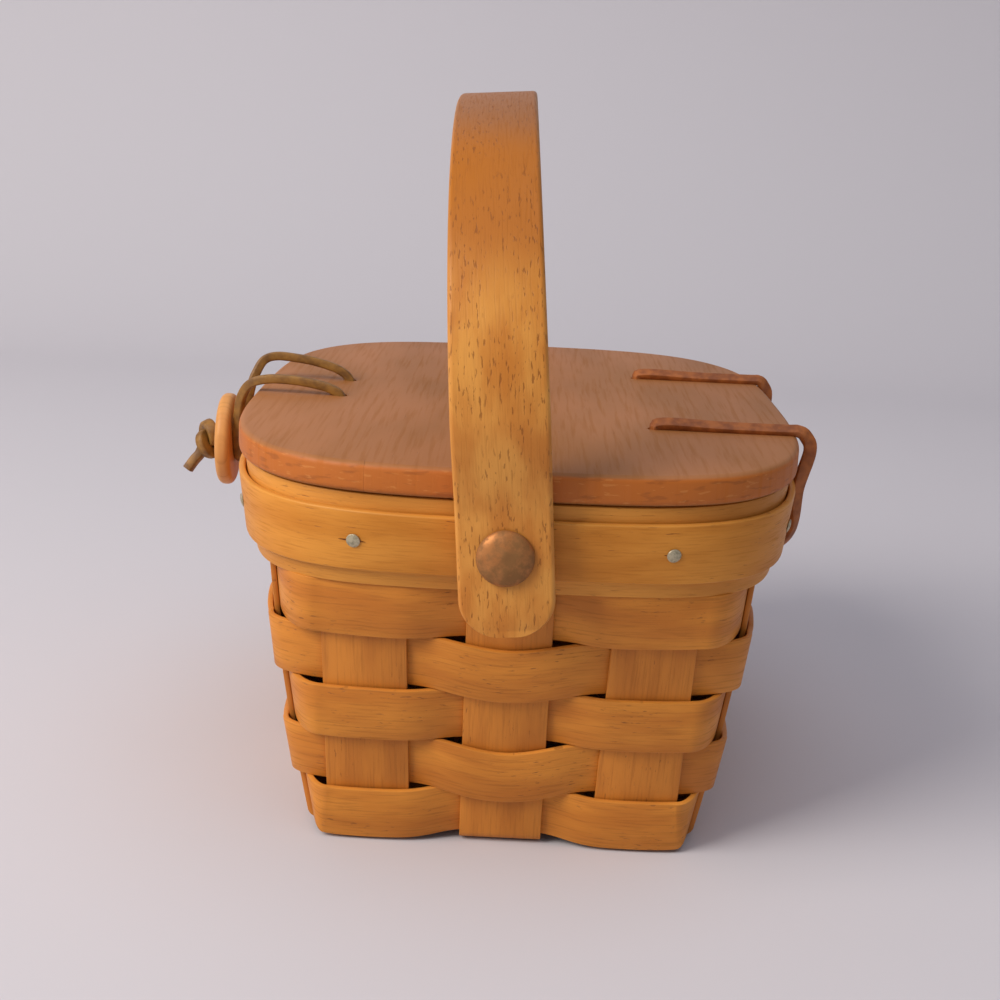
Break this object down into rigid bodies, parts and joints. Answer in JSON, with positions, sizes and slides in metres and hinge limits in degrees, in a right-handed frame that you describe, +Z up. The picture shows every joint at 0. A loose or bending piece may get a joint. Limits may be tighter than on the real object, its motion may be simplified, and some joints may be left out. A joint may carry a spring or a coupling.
{
  "type": "lidded splint basket",
  "caption": "Small rectangular woven splint basket with flared walls, a flat wooden lid on leather lace hinges, a knob and loop catch and a swinging bentwood handle.",
  "frame": {"origin": "under the middle of the basket's bottom, on the surface it stands on", "axes": "+Z up, +Y along the basket's length from the near rivet to the far rivet, -X towards the knob and loop, +X towards the lid's lace hinges"},
  "size_m": [0.1484, 0.1724, 0.1596],
  "materials": {
    "splint": "stained maple splint, satin, warm honey brown with fine grain",
    "band": "stained maple band, satin, a little lighter than the splints",
    "handle_wood": "bentwood, satin, with short dark flecks along the grain",
    "lid_wood": "solid board, dull brown face and warmer edge",
    "knob_wood": "turned wood, satin",
    "lace_leather": "round leather lace, tan brown",
    "loop_leather": "round leather lace, olive brown",
    "tack_steel": "dull grey steel",
    "rivet_copper": null
  },
  "bodies": {
    "basket": {"upsplint_cross_1": "splint", "upsplint_cross_2": "splint", "upsplint_cross_3": "splint", "upsplint_long_1": "splint", "upsplint_long_2": "splint", "upsplint_long_3": "splint", "upsplint_long_4": "splint", "weaver_row_1": "splint", "weaver_row_2": "splint", "weaver_row_3": "splint", "weaver_row_4": "splint", "weaver_row_5": "splint", "inner_band": "band", "wide_band": "band", "trim_strip": "band", "tack_near_1": "tack_steel", "tack_near_2": "tack_steel", "tack_right_1": "tack_steel", "tack_right_2": "tack_steel", "tack_right_3": "tack_steel", "tack_right_4": "tack_steel", "tack_far_1": "tack_steel", "tack_far_2": "tack_steel", "tack_left_1": "tack_steel", "tack_left_2": "tack_steel", "tack_left_3": "tack_steel", "tack_left_4": "tack_steel", "rivet_near": "rivet_copper", "rivet_far": "rivet_copper", "burr_near": "rivet_copper", "burr_far": "rivet_copper", "hinge_lace_near": "lace_leather", "hinge_lace_far": "lace_leather", "knob_lace": "loop_leather"},
    "handle": {"handle": "handle_wood"},
    "lid": {"lid": "lid_wood"},
    "loop": {"loop_lace": "loop_leather"},
    "knob": {"knob": "knob_wood"}
  },
  "joints": [
    {"name": "handle_swing", "type": "hinge", "parent": "basket", "child": "handle", "pos_m": [-0.0015, 0, 0.0722], "axis": [0, 1, 0], "range_deg": [-125.5, 130]},
    {"name": "lid_hinge", "type": "hinge", "parent": "basket", "child": "lid", "pos_m": [0.061, 0, 0.08185], "axis": [0, 1, 0], "range_deg": [0, 20], "deforming": ["hinge_lace_near", "hinge_lace_far"]},
    {"name": "loop_swing", "type": "hinge", "parent": "lid", "child": "loop", "pos_m": [-0.0625, 0, 0.0882], "axis": [0, 1, 0], "range_deg": [0, 100], "deforming": ["loop_lace"]},
    {"name": "knob_spin", "type": "hinge", "parent": "basket", "child": "knob", "pos_m": [-0.067, 0, 0.074], "axis": [1, 0, 0], "continuous": true}
  ]
}
